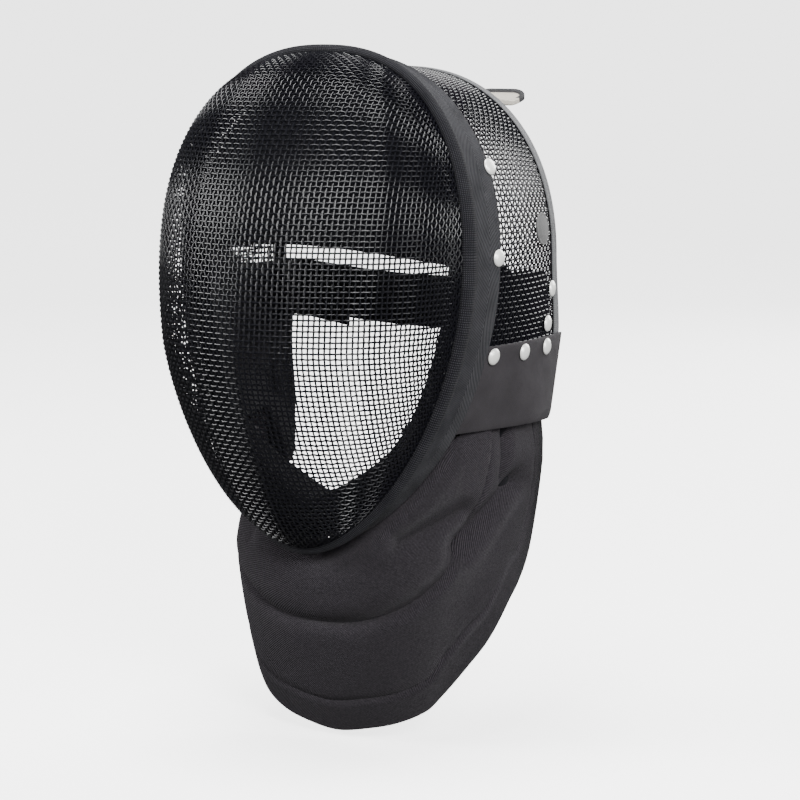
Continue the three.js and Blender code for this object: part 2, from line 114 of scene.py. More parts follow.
def dome(a, b):
    # a and b are angles across and up from the middle, and the rim lies a quarter turn away from it
    turn = max(math.hypot(a, b), 1e-6)
    across, up = a / turn, b / turn
    power, height = rim_outline(up >= 0)
    reach = (abs(across / RIM_HALF_WIDTH) ** power + abs(up / height) ** power) ** (-1 / power)
    out = reach * math.sin(min(turn, math.pi / 2))
    x, z = out * across, out * up
    if turn < math.pi / 2:
        return Vector((x, dome_back(x, z), z))
    return Vector((x, rim_back(z) + (turn - math.pi / 2) * RIM_HALF_WIDTH, z))


def settle(rule, a, b):
    # Moves a point over the dome until both numbers that rule gives are zero
    for _ in range(8):
        here = rule(dome(a, b))
        if max(abs(here[0]), abs(here[1])) < 1e-3:
            return a, b
        step = 1e-4
        by_a = rule(dome(a + step, b))
        by_b = rule(dome(a, b + step))
        p, q = (by_a[0] - here[0]) / step, (by_b[0] - here[0]) / step
        r, s = (by_a[1] - here[1]) / step, (by_b[1] - here[1]) / step
        scale = p * s - q * r
        if abs(scale) < 1e-6:
            return None
        a -= min(max((here[0] * s - q * here[1]) / scale, -0.1), 0.1)
        b -= min(max((p * here[1] - r * here[0]) / scale, -0.1), 0.1)
    return None


def apart(point, other):
    return (point - other).length - WIRE_PITCH


# The wire crossings: the middle upright wire follows the crease, one level wire follows the deepest
# section, and every other crossing lies one pitch from the two before it, as in a real wire cloth
NEAR_DEEPEST = -0.28
NEAR_PITCH = 0.03
NEAR_RIM = math.pi / 2 - 0.2
TUCKED_UNDER_TRIM = math.pi / 2 + 0.06
BEYOND_RIM = math.pi / 2 + 0.3
crossings = {(0, 0): settle(lambda p: (p.x, p.z + DOME_DEEPEST_DROP), 0.0, NEAR_DEEPEST)}
for way in (1, -1):
    i = way
    while True:
        before = crossings[(0, i - way)]
        last = dome(*before)
        found = settle(lambda p: (p.x, apart(p, last)), before[0], before[1] + way * NEAR_PITCH)
        if found is None or math.hypot(*found) > BEYOND_RIM:
            break
        crossings[(0, i)] = found
        i += way
i = 1
while True:
    before = crossings[(i - 1, 0)]
    last = dome(*before)
    found = settle(lambda p: (p.z + DOME_DEEPEST_DROP, apart(p, last)), before[0] + NEAR_PITCH, before[1])
    if found is None or math.hypot(*found) > BEYOND_RIM:
        break
    crossings[(i, 0)] = found
    i += 1
columns = i
for way in (1, -1):
    for i in range(1, columns):
        j = way
        while (i - 1, j) in crossings and (i, j - way) in crossings:
            side, below = crossings[(i - 1, j)], crossings[(i, j - way)]
            corner = crossings[(i - 1, j - way)]
            first, second = dome(*side), dome(*below)
            guess = side[0] + below[0] - corner[0], side[1] + below[1] - corner[1]
            found = settle(lambda p: (apart(p, first), apart(p, second)), *guess)
            if found is None and math.hypot(*guess) > NEAR_RIM:
                found = guess
            if found is None or math.hypot(*found) > BEYOND_RIM:
                break
            crossings[(i, j)] = found
            j += way


def crossing_spot(i, j):
    # A crossing's place and the direction straight out there. Below 0, i counts the mirrored wires.
    a, b = crossings[(abs(i), j)]
    step = 0.004
    point, across = dome(a, b), dome(a + step, b) - dome(a - step, b)
    out = across.cross(dome(a, b + step) - dome(a, b - step)).normalized()
    if i < 0:
        point.x, out.x = -point.x, -out.x
    return point - out * WIRE_CLOTH_INSET, out


spots = {}
for (i, j), angles in crossings.items():
    if math.hypot(*angles) < TUCKED_UNDER_TRIM:
        spots[(i, j)] = crossing_spot(i, j)
        spots[(-i, j)] = crossing_spot(-i, j)


def piece_of(name, data):
    piece = bpy.data.objects.new(name, data)
    bpy.context.scene.collection.objects.link(piece)
    return piece


def wire_cloth(name, spots, ways):
    # One curve for each wire: it passes each crossing half a wire over or under the middle of the cloth
    curve = bpy.data.curves.new(name, "CURVE")
    curve.dimensions = "3D"
    curve.bevel_depth = WIRE_DIAMETER / 2000
    curve.bevel_resolution = 1
    for step_i, step_j in ways:
        first = [key for key in spots if (key[0] - step_i, key[1] - step_j) not in spots]
        for i, j in sorted(first):
            run = []
            while (i, j) in spots:
                point, out = spots[(i, j)]
                over = 1 if (i + j + step_i) % 2 else -1
                run.append(place(*(point + out * (over * WIRE_DIAMETER / 2))))
                i, j = i + step_i, j + step_j
            if len(run) > 1:
                spline = curve.splines.new("POLY")
                spline.points.add(len(run) - 1)
                for knot, co in zip(spline.points, run):
                    knot.co = (*co, 1)
    return piece_of(name, curve)


def add_node(tree, kind, inputs=None, **settings):
    # Each input is a value or the output of another node
    made = tree.nodes.new(kind)
    for name, value in settings.items():
        setattr(made, name, value)
    for socket, value in (inputs or {}).items():
        if isinstance(value, bpy.types.NodeSocket):
            tree.links.new(value, made.inputs[socket])
        else:
            made.inputs[socket].default_value = value
    return made


def new_finish(name, roughness, **others):
    finish = bpy.data.materials.new(name)
    finish.use_nodes = True
    tree = finish.node_tree
    shader = tree.nodes["Principled BSDF"]
    shader.inputs["Roughness"].default_value = roughness
    for socket, value in others.items():
        shader.inputs[socket.replace("_", " ")].default_value = value
    return finish, tree, shader


def color_between(tree, shader, share, dark, pale):
    mix = add_node(tree, "ShaderNodeMix", data_type="RGBA")
    tree.links.new(share, mix.inputs["Factor"])
    mix.inputs["A"].default_value = (*dark, 1)
    mix.inputs["B"].default_value = (*pale, 1)
    tree.links.new(mix.outputs["Result"], shader.inputs["Base Color"])


def noise(tree, scale, detail=3.0):
    spot = add_node(tree, "ShaderNodeTexCoord").outputs["Object"]
    made = add_node(tree, "ShaderNodeTexNoise", {"Vector": spot, "Scale": scale, "Detail": detail})
    return made.outputs["Fac"]


def add_bump(tree, shader, height, depth, strength=1.0):
    # Adds a bump on top of the ones that the finish has already
    bump = add_node(tree, "ShaderNodeBump", {"Height": height, "Distance": depth, "Strength": strength})
    if shader.inputs["Normal"].is_linked:
        tree.links.new(shader.inputs["Normal"].links[0].from_socket, bump.inputs["Normal"])
    tree.links.new(bump.outputs["Normal"], shader.inputs["Normal"])


def fit_piece(piece, finish, node):
    piece.data.materials.append(finish)
    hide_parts(node)
    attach(piece, "root")


WIRE_BLACK = (0.0018, 0.0018, 0.003)
WIRE_WORN = (0.006, 0.006, 0.0085)
painted_wire, tree, shader = new_finish("painted_wire", roughness=0.16, Specular_IOR_Level=0.3)
drips = noise(tree, 300)
color_between(tree, shader, drips, WIRE_BLACK, WIRE_WORN)
add_bump(tree, shader, drips, depth=0.0002, strength=0.15)

for name, way in (("front_level_wires", (1, 0)), ("front_upright_wires", (0, 1))):
    fit_piece(wire_cloth(name, spots, [way]), painted_wire, "front_mesh")


# Hood
# A strip of the same wire cloth behind the rim, from ear to ear over the head. It is bent round, and
# its wires run from front to back and around. The trim holds its front edge and a tape its rear edge.
HOOD_DEPTH = 115
HOOD_REAR_HALF_WIDTH = 96.5
HOOD_REAR_TOP_HEIGHT = 108.5
HOOD_REAR_POWER = 2.3
HOOD_BULGE = 7.5
HOOD_TOP_LEAN = 12
HOOD_LEAN_POWER = 1.2
HOOD_LOWER_REACH = 4
HOOD_BOTTOM = -97
TAB_TOP = -50
TAB_LEAN = 0.3
HOOD_CLOTH_INSET = 1.0
HOOD_BEHIND_RIM = 0.4
HOOD_FIRST_WIRE = 1
HOOD_WIRE_MARGIN = 0.5
TURN_STEP = 0.0005


class RimPoint:
    # A point of the rim, with the direction straight out from it. The angle t is 0 at the wearer's left
    # and a quarter turn at the top.
    def __init__(self, t):
        cosine, sine = math.cos(t), math.sin(t)
        power, height = rim_outline(sine >= 0)
        self.x = RIM_HALF_WIDTH * signed_power(cosine, 2 / power)
        self.z = height * signed_power(sine, 2 / power)
        self.y = rim_back(self.z)
        self.rise = self.z / height
        gradient = Vector((
            signed_power(self.x / RIM_HALF_WIDTH, power - 1) / RIM_HALF_WIDTH,
            signed_power(self.z / height, power - 1) / height,
        )).normalized()
        self.out_x, self.out_z = gradient


def rim_angle(z):
    if z >= 0:
        return math.asin((z / RIM_TOP_HEIGHT) ** (RIM_TOP_POWER / 2))
    return -math.asin((-z / RIM_CHIN_DEPTH) ** (RIM_CHIN_POWER / 2))


def hood_rear_back(z):
    lean = -HOOD_TOP_LEAN * max(z / HOOD_REAR_TOP_HEIGHT, 0) ** HOOD_LEAN_POWER
    return HOOD_DEPTH + lean + HOOD_LOWER_REACH * smooth(z / TAB_TOP) - max(TAB_TOP - z, 0) * TAB_LEAN


HOOD_LOWEST = rim_angle(HOOD_BOTTOM)


def hood(t, share, out=0.0):
    # share runs from 0 at the rim to 1 at the rear edge, and out is the height over the cloth
    rim = RimPoint(t)
    cosine, sine = math.cos(t), math.sin(t)
    rear_x = HOOD_REAR_HALF_WIDTH * signed_power(cosine, 2 / HOOD_REAR_POWER)
    rear_z = HOOD_REAR_TOP_HEIGHT * signed_power(sine, 2 / HOOD_REAR_POWER)
    ease = share
    if sine < 0:
        flare = min(abs(cosine) / math.cos(HOOD_LOWEST), 1) ** 2
        rear_x = lerp(rim.x, math.copysign(HOOD_REAR_HALF_WIDTH, cosine), flare)
        rear_z = rim.z
        # The share isn't held between 0 and 1 here, as the tapes and tabs reach past both edges
        ease = lerp(share, share * share * (3 - 2 * share), min(sine / math.sin(HOOD_LOWEST), 1))
    lift = HOOD_BULGE * 4 * share * (1 - share) * (1 - rim.rise ** 2) + out
    return Vector((
        lerp(rim.x, rear_x, ease) + rim.out_x * lift,
        lerp(rim.y + HOOD_BEHIND_RIM, hood_rear_back(rear_z), share),
        lerp(rim.z, rear_z, share) + rim.out_z * lift,
    ))


def hood_length(t):
    return hood(t, 1).y - hood(t, 0).y


def hood_out(t, share):
    # The direction straight out of the cloth
    along_t = hood(t + 0.01, share) - hood(t - 0.01, share)
    return (hood(t, share + 0.01) - hood(t, share - 0.01)).cross(along_t).normalized()


# The wires that run from front to back start one pitch apart around the middle of the hood
hood_wire_turns = [HOOD_LOWEST]
last = hood(HOOD_LOWEST, 0.5)
t = HOOD_LOWEST
while t < math.pi - HOOD_LOWEST:
    t += TURN_STEP
    here = hood(t, 0.5)
    if (here - last).length >= WIRE_PITCH:
        hood_wire_turns.append(t)
        last = here
hood_spots = {}
for i, t in enumerate(hood_wire_turns):
    length = hood_length(t)
    for j in range(int((length - HOOD_WIRE_MARGIN) / WIRE_PITCH) + 1):
        share = (HOOD_FIRST_WIRE + j * WIRE_PITCH) / length
        if share < 1:
            out = hood_out(t, share)
            hood_spots[(i, j)] = (hood(t, share) - out * HOOD_CLOTH_INSET, out)
hood_wires = wire_cloth("hood_wires", hood_spots, [(1, 0), (0, 1)])
fit_piece(hood_wires, painted_wire, "back_mesh")


# Rim trim
# A herringbone tape wrapped over the joint of the two wire cloths, with the frame wire inside it and a
# plain rounded bead sewn along its front edge. Its chevrons meet along the middle of the tape.
TRIM_WIDTH = 30
TRIM_TOP_SHARE = 0.75
TRIM_CHIN_SHARE = 0.55
TRIM_HEIGHT = 3.2
TRIM_BEAD_HEIGHT = 5.8
TRIM_LENGTH = 796
# The section by the distance behind the rim and the height over the cloth, over the tape and back under
TRIM_SECTION = [
    (-1.0, 0.6), (-1.6, 2.6), (0.2, 5.0), (3.4, TRIM_BEAD_HEIGHT), (6.8, 4.5), (8.6, TRIM_HEIGHT),
    (15, TRIM_HEIGHT), (TRIM_WIDTH, TRIM_HEIGHT), (TRIM_WIDTH, 0.6), (15, 0.6), (6, 0.6), (-1.0, 0.6),
]
TAPE_START = 14.3
TAPE_MIDDLE = 25.0
MIDDLE_OF_HEAD = place(0, 40, -30)


def along_path(points, share):
    # The point at a share of the length of a path
    lengths = [math.dist(a, b) for a, b in zip(points, points[1:])]
    left = share * sum(lengths)
    for (a, b), length in zip(zip(points, points[1:]), lengths):
        if left <= length:
            return [lerp(p, q, left / length) for p, q in zip(a, b)]
        left -= length
    return points[-1]


def path_length(points):
    return sum(math.dist(a, b) for a, b in zip(points, points[1:]))


def trim_share(t):
    return lerp(1, TRIM_TOP_SHARE if math.sin(t) >= 0 else TRIM_CHIN_SHARE, RimPoint(t).rise ** 2)


def mesh_piece(name, bm):
    mesh = bpy.data.meshes.new(name)
    bm.to_mesh(mesh)
    bm.free()
    return piece_of(name, mesh)


def cloth_grid(name, at, size, columns, rows):
    # A grid of faces with its UV map in metres of cloth, and each point put in place by at(u, v)
    bm = bmesh.new()
    uv = bm.loops.layers.uv.new("UVMap")
    bmesh.ops.create_grid(bm, x_segments=columns, y_segments=rows, size=0.5)
    for face in bm.faces:
        face.smooth = True
        for loop in face.loops:
            co = loop.vert.co
            loop[uv].uv = ((co.x + 0.5) * size[0] * 0.001, (co.y + 0.5) * size[1] * 0.001)
    for vert in bm.verts:
        vert.co = place(*at(vert.co.x + 0.5, vert.co.y + 0.5))
    bmesh.ops.remove_doubles(bm, verts=bm.verts, dist=1e-5)
    bm.normal_update()
    if sum((face.calc_center_median() - MIDDLE_OF_HEAD).dot(face.normal) for face in bm.faces) < 0:
        bmesh.ops.reverse_faces(bm, faces=bm.faces)
    return mesh_piece(name, bm)


def modify(piece, kind, **settings):
    modifier = piece.modifiers.new(kind.title(), kind)
    for name, value in settings.items():
        setattr(modifier, name, value)


def trim_point(u, v):
    # u runs once round the rim from the chin, and v round the tape's section
    t = 2 * math.pi * u - math.pi / 2
    back, rise = along_path(TRIM_SECTION, v)
    return hood(t, back * trim_share(t) / hood_length(t), rise)


def cloth_axes(tree):
    cloth_map = add_node(tree, "ShaderNodeUVMap").outputs["UV"]
    split = add_node(tree, "ShaderNodeSeparateXYZ", {"Vector": cloth_map})
    return split.outputs["X"], split.outputs["Y"]


def maths(tree, operation, *values):
    made = add_node(tree, "ShaderNodeMath", operation=operation)
    for socket, value in zip(made.inputs, values):
        if isinstance(value, bpy.types.NodeSocket):
            tree.links.new(value, socket)
        else:
            socket.default_value = value
    return made.outputs[0]


def ribs(tree, along, pitch):
    # Runs from 0 between two ribs to 1 on top of each
    wave = maths(tree, "SINE", maths(tree, "MULTIPLY", along, 2 * math.pi / pitch))
    return maths(tree, "MULTIPLY_ADD", wave, 0.5, 0.5)


def weave_of(tree, lengthwise, over, pitch, pitch_over=None):
    # Warp and weft crossing at right angles
    return maths(tree, "MULTIPLY", ribs(tree, lengthwise, pitch), ribs(tree, over, pitch_over or pitch))


def cloth_finish(name, roughness, gloss, fuzz, fuzz_roughness=0.5):
    return new_finish(name, roughness, Specular_IOR_Level=gloss, Sheen_Weight=fuzz,
                      Sheen_Roughness=fuzz_roughness)


TAPE_DARK = (0.006, 0.006, 0.008)
TAPE_PALE = (0.072, 0.072, 0.08)
herringbone_tape, tree, shader = cloth_finish("herringbone_tape", roughness=0.85, gloss=0.08, fuzz=0.04)
lengthwise, over = cloth_axes(tree)
from_middle = maths(tree, "ABSOLUTE", maths(tree, "SUBTRACT", over, TAPE_MIDDLE / 1000))
on_tape = maths(tree, "GREATER_THAN", over, TAPE_START / 1000)
chevrons = ribs(tree, maths(tree, "MULTIPLY_ADD", lengthwise, 0.5, from_middle), 0.0014)
plain_weave = weave_of(tree, lengthwise, over, 0.0011)
cloth_height = maths(tree, "ADD", maths(tree, "MULTIPLY", chevrons, on_tape),
                     maths(tree, "MULTIPLY", plain_weave, maths(tree, "SUBTRACT", 1.0, on_tape)))
worn = maths(tree, "MULTIPLY", noise(tree, 90), cloth_height)
color_between(tree, shader, worn, TAPE_DARK, TAPE_PALE)
add_bump(tree, shader, cloth_height, depth=0.0005)
add_bump(tree, shader, noise(tree, 40), depth=0.001, strength=0.5)

trim_size = (TRIM_LENGTH, path_length(TRIM_SECTION))
trim = cloth_grid("rim_tape", trim_point, trim_size, columns=260, rows=56)
modify(trim, "SUBSURF", levels=1, render_levels=1)
fit_piece(trim, herringbone_tape, "rim_trim")


# Edge binding
# A grey woven tape folded over the hood's rear edge from tab to tab, and stitched through the wires. Its
# outer side is the wider one, and covers the ends of the wires.
BINDING_SECTION = [
    (-8.5, 0.4), (-0.4, 0.9), (0.8, 0.3), (1.1, -0.8), (0.8, -1.9), (-0.4, -2.5), (-2.2, -2.4),
]
BINDING_THICKNESS = 0.9
BINDING_LENGTH = 438
BINDING_END = rim_angle(TAB_TOP - 1)
GREY_TAPE_DARK = (0.06, 0.061, 0.064)
GREY_TAPE_PALE = (0.165, 0.167, 0.174)


def binding_point(u, v):
    # u runs over the head from tab to tab, and v round the tape's section
    t = lerp(BINDING_END, math.pi - BINDING_END, u)
    reach, out = along_path(BINDING_SECTION, v)
    return hood(t, 1 + reach / hood_length(t), out)


grey_tape, tree, shader = cloth_finish("grey_tape", roughness=0.8, gloss=0.2, fuzz=0.1)
lengthwise, over = cloth_axes(tree)
weave = weave_of(tree, lengthwise, over, 0.0009)
worn = maths(tree, "MULTIPLY_ADD", weave, 0.5, maths(tree, "MULTIPLY", noise(tree, 70), 0.5))
color_between(tree, shader, worn, GREY_TAPE_DARK, GREY_TAPE_PALE)
add_bump(tree, shader, weave, depth=0.0003)

binding_size = (BINDING_LENGTH, path_length(BINDING_SECTION))
binding = cloth_grid("edge_tape", binding_point, binding_size, columns=140, rows=18)
modify(binding, "SOLIDIFY", thickness=BINDING_THICKNESS / 1000, offset=0)
modify(binding, "SUBSURF", levels=1, render_levels=1)
fit_piece(binding, grey_tape, "edge_binding")


# Rivets and discs
# Nickelled domed rivets hold the trim, the hood's rear corners and the tabs, seven on each side. A disc
# of grey felt with a pressed ring is glued on each side of the hood, near its rear edge.
ON_TRIM = 3.6
ON_WIRE = 0.4
ON_TAB = 3.3
RIVETS = [
    {"level": 53, "share": 0.26, "under": ON_TRIM},
    {"level": 2, "share": 0.235, "under": ON_TRIM},
    {"level": -22, "share": 0.9, "under": ON_WIRE},
    {"level": -42, "share": 0.825, "under": ON_WIRE},
    {"level": -54, "share": 0.285, "under": ON_TAB},
    {"level": -54, "share": 0.545, "under": ON_TAB},
    {"level": -54, "share": 0.78, "under": ON_TAB},
]
DISC = {"level": 16, "share": 0.76, "under": ON_WIRE}
SIDES = (("left", 1), ("right", -1))


def spin_profile(profile, steps, merge):
    # Spins a half section, given in metres by its radius and height, about the upright axis
    bm = bmesh.new()
    knots = [bm.verts.new((radius, 0, height)) for radius, height in profile]
    edges = [bm.edges.new(pair) for pair in zip(knots, knots[1:])]
    bmesh.ops.spin(bm, geom=knots + edges, cent=(0, 0, 0), axis=(0, 0, 1), angle=2 * math.pi, steps=steps,
                   use_merge=True)
    bmesh.ops.remove_doubles(bm, verts=bm.verts, dist=merge)
    for face in bm.faces:
        face.smooth = True
    return bm


def spun_head(name, profile, side, level, share, under):
    # Stands a spun head on the cloth, facing outwards
    bm = spin_profile([(radius * 0.001, height * 0.001) for radius, height in profile], 32, 1e-6)
    bmesh.ops.recalc_face_normals(bm, faces=bm.faces)
    t = rim_angle(level)
    spot = hood(t, share, under)
    out = hood_out(t, share)
    out = Vector((side * out.x, out.y, out.z))
    turn = out.to_track_quat("Z", "Y").to_matrix().to_4x4()
    seat = Matrix.Translation(place(side * spot.x, spot.y, spot.z))
    bmesh.ops.transform(bm, matrix=seat @ turn, verts=bm.verts)
    return mesh_piece(name, bm)


NICKEL_DULL = (0.8, 0.8, 0.77)
NICKEL_BRIGHT = (0.95, 0.95, 0.92)
nickel, tree, shader = new_finish("nickel_plate", roughness=0.35, Metallic=0.35)
worn = noise(tree, 900, 4.0)
color_between(tree, shader, worn, NICKEL_DULL, NICKEL_BRIGHT)
add_bump(tree, shader, noise(tree, 1500), depth=0.00008, strength=0.4)

RIVET_PROFILE = [
    (0, 0), (4.7, 0), (4.95, 0.12), (5.0, 0.35), (4.85, 0.7), (4.4, 1.15), (3.6, 1.6), (2.5, 1.95),
    (1.2, 2.15), (0, 2.2),
]
DISC_PROFILE = [
    (0, 0), (9.4, 0), (9.7, 0.25), (9.65, 0.9), (9.3, 1.15), (8.6, 1.2), (8.2, 1.05), (7.8, 1.2), (0, 1.2),
]
FELT_DARK = (0.045, 0.045, 0.046)
FELT_PALE = (0.13, 0.13, 0.13)
disc_cloth, tree, shader = cloth_finish("disc_cloth", roughness=0.8, gloss=0.2, fuzz=0.1)
felt = noise(tree, 1200, 4.0)
color_between(tree, shader, felt, FELT_DARK, FELT_PALE)
add_bump(tree, shader, felt, depth=0.0002)
for name, side in SIDES:
    for i, rivet in enumerate(RIVETS):
        head = spun_head(f"rivet_head_{name}_{i + 1}", RIVET_PROFILE, side, **rivet)
        fit_piece(head, nickel, f"rivet_{name}_{i + 1}")
    disc = spun_head(f"cloth_disc_{name}", DISC_PROFILE, side, **DISC)
    fit_piece(disc, disc_cloth, f"side_disc_{name}")


# Bib tabs
# Stiff smooth flaps at the bib's upper corners, that lie on the hood's lower corners behind the trim and
# are riveted through the wires.
TAB_OVER_WIRE = 2.1
TAB_THICKNESS = 1.6
TAB_OVERHANG = 0.8
BIB_SEAM = -101
TAB_TRIM_GAP = 1
TAB_FLAT_SIZE = (90, 53)
TAB_DARK = (0.019, 0.0173, 0.0192)
TAB_PALE = (0.04, 0.037, 0.0405)


def tab_point(side):
    def at(u, v):
        level = lerp(TAB_TOP, BIB_SEAM, v)
        t = rim_angle(level)
        length = hood_length(t)
        front = (TRIM_WIDTH * trim_share(t) + TAB_TRIM_GAP) / length
        spot = hood(t, lerp(front, 1 + TAB_OVERHANG / length, u), TAB_OVER_WIRE)
        return side * spot.x, spot.y, level
    return at


tab_cloth, tree, shader = cloth_finish("coated_tab", roughness=0.6, gloss=0.1, fuzz=0.02)
color_between(tree, shader, noise(tree, 60), TAB_DARK, TAB_PALE)
lengthwise, over = cloth_axes(tree)
weave = weave_of(tree, lengthwise, over, 0.0007)
add_bump(tree, shader, weave, depth=0.0001)
add_bump(tree, shader, noise(tree, 30), depth=0.0015, strength=0.6)
for name, side in SIDES:
    tab = cloth_grid(f"tab_{name}", tab_point(side), TAB_FLAT_SIZE, columns=30, rows=20)
    modify(tab, "SOLIDIFY", thickness=TAB_THICKNESS / 1000, offset=0)
    modify(tab, "BEVEL", width=0.0004, segments=2, limit_method="ANGLE")
    fit_piece(tab, tab_cloth, f"bib_tab_{name}")


# Bib
# A padded collar of black twill that hangs from the chin and ears over the throat. A sewn channel runs
# round the throat, a hem along the free edge, and the upper edge is tucked in under the trim.
BIB_AXIS_BACK = 75
BIB_TOP_HALF_WIDTH = 96.5
BIB_BOTTOM_NARROWING = 22.5
BIB_NARROWING_POWER = 2.25
BIB_FRONT_FORWARD = 11.5
BIB_FRONT_CURL = 28.5
BIB_SECTION_POWER = 2.1
BIB_SHOULDER = -58
BIB_CHIN = -172
BIB_BOTTOM = -286
BIB_THICKNESS = 6
BIB_FLAT_SIZE = (433, 185)
BIB_TRIM_GAP = 1
BIB_TAB_GAP = 0.4
BIB_EDGE_ANGLE = 108.8
BIB_LOWER_EDGE = [
    (0, 1), (22, 0.981), (37.5, 0.957), (51, 0.914), (57, 0.865), (67.6, 0.773), (77.4, 0.697),
    (89, 0.584), (96, 0.524), (101.7, 0.432), (104.5, 0.303), (107.4, 0.1), (108.8, 0.01),
]
CHANNEL_DROP = -215.5
CHANNEL_ANGLE = 73.5
CHANNEL_POWER = 2.5
CHANNEL_DEPTH = 4
CHANNEL_HALF_WIDTH = 5
QUILT_RISE = 2.5
QUILT_EASE = 20
HEM_HEIGHT = 20
HEM_DEPTH = 1.8
HEM_HALF_WIDTH = 2.2
FOLDS = [
    {"start": (35, -165), "end": (62, -147.5), "depth": 5.5, "half_width": 7},
    {"start": (60, -170), "end": (89, -136), "depth": 12, "half_width": 8},
    {"start": (84, -100), "end": (81, -130), "depth": 9, "half_width": 4.5},
]
TUCK_RISE = 7
TUCK_INSET = 9
TUCK_LENGTH = 17
TUCK_BELOW_TAB = 2
TUCK_EASE = 15
HOLLOW_DEPTH = 4.5
HOLLOW_LEVEL = -192
HOLLOW_EASE = 35
HOLLOW_ANGLE = 58
HOLLOW_HALF_WIDTH = 24


def bib_spot(angle, z, inset=0.0):
    # The angle is 0 at the front. Past the middle of each side the bib runs straight on to the rear.
    turn = abs(angle)
    drop = min(max((BIB_SHOULDER - z) / (BIB_SHOULDER - BIB_BOTTOM), 0), 1)
    full = BIB_TOP_HALF_WIDTH - BIB_BOTTOM_NARROWING * drop ** BIB_NARROWING_POWER
    half = full - inset
    side = math.copysign(1, angle)
    if turn > math.pi / 2:
        return side * half, BIB_AXIS_BACK + full * math.tan(turn - math.pi / 2), z
    curl = BIB_FRONT_CURL * (max(BIB_CHIN - z, 0) / (BIB_CHIN - BIB_BOTTOM)) ** 2
    front = BIB_AXIS_BACK + BIB_FRONT_FORWARD - curl - inset
    power = BIB_SECTION_POWER
    reach = ((math.sin(turn) / half) ** power + (abs(math.cos(turn)) / front) ** power) ** (-1 / power)
    return side * reach * math.sin(turn), BIB_AXIS_BACK - reach * math.cos(turn), z


def trim_reach(t):
    rim = RimPoint(t)
    rear = hood(t, TRIM_WIDTH * trim_share(t) / hood_length(t), TRIM_HEIGHT)
    return max(TRIM_BEAD_HEIGHT, (rear.x - rim.x) * rim.out_x + (rear.z - rim.z) * rim.out_z)


def find_upper_edge(angle):
    # Follows the trim's outline around the chin, and is level under the tabs
    chin, ear = -math.pi / 2, 0
    for _ in range(24):
        t = (chin + ear) / 2
        rim = RimPoint(t)
        out = trim_reach(t) + BIB_TRIM_GAP
        z = rim.z + rim.out_z * out
        if rim.x + rim.out_x * out < abs(bib_spot(angle, z)[0]):
            chin = t
        else:
            ear = t
    return min(z, BIB_SEAM - BIB_TAB_GAP)


def edge_slope(index):
    # The slope of the lower edge at one of its points, from the points beside it, and level in the middle
    if index == 0:
        return 0
    before, after = BIB_LOWER_EDGE[index - 1], BIB_LOWER_EDGE[min(index + 1, len(BIB_LOWER_EDGE) - 1)]
    return (after[1] - before[1]) / (after[0] - before[0])


def lower_edge(angle):
    degrees = min(abs(math.degrees(angle)), BIB_EDGE_ANGLE)
    for i, ((start, first), (end, second)) in enumerate(zip(BIB_LOWER_EDGE, BIB_LOWER_EDGE[1:])):
        if degrees <= end:
            width = end - start
            t = (degrees - start) / width
            bend = t * (1 - t) ** 2 * (width * edge_slope(i) - second + first)
            bend -= t * t * (1 - t) * (width * edge_slope(i + 1) - second + first)
            return lerp(BIB_SEAM, BIB_BOTTOM, lerp(first, second, t) + bend)
    return lerp(BIB_SEAM, BIB_BOTTOM, BIB_LOWER_EDGE[-1][1])


def groove(distance, half_width):
    return math.exp(-(distance / half_width) ** 2)


def bib_relief(angle, z, upper, lower):
    # How far channel, quilting, folds and hem rise or sink the cloth at a point
    degrees = abs(math.degrees(angle))
    reach = max(1 - (degrees / CHANNEL_ANGLE) ** CHANNEL_POWER, 0) ** 0.5
    channel = lerp(BIB_SEAM, CHANNEL_DROP, reach)
    per_degree = math.radians(BIB_TOP_HALF_WIDTH)
    sideways = 1e9 if degrees < CHANNEL_ANGLE else (degrees - CHANNEL_ANGLE) * per_degree
    away = min(abs(z - channel) * min(1, 0.35 + reach), math.hypot(sideways, max(BIB_SEAM - z, 0)))
    relief = -CHANNEL_DEPTH * groove(away, CHANNEL_HALF_WIDTH)
    if degrees < CHANNEL_ANGLE and z > channel:
        relief += QUILT_RISE * smooth(away / (3 * CHANNEL_HALF_WIDTH)) * smooth((upper - z) / QUILT_EASE)
    for fold in FOLDS:
        along = (fold["end"][0] - fold["start"][0]) * per_degree
        up = fold["end"][1] - fold["start"][1]
        dx = (degrees - fold["start"][0]) * per_degree
        dz = z - fold["start"][1]
        t = min(max((dx * along + dz * up) / (along ** 2 + up ** 2), 0), 1)
        relief -= fold["depth"] * groove(math.hypot(dx - t * along, dz - t * up), fold["half_width"])
    step = 0.02
    climb = lower_edge(abs(angle) + step) - lower_edge(abs(angle) - step)
    from_edge = (z - lower) / math.hypot(1, climb / (2 * step * BIB_TOP_HALF_WIDTH))
    return relief - HEM_DEPTH * groove(from_edge - HEM_HEIGHT, HEM_HALF_WIDTH)


BIB_COLUMNS = 220
bib_edges = {}
for column in range(BIB_COLUMNS + 1):
    angle = math.radians(BIB_EDGE_ANGLE) * (2 * column / BIB_COLUMNS - 1)
    bib_edges[column] = find_upper_edge(angle), lower_edge(angle)


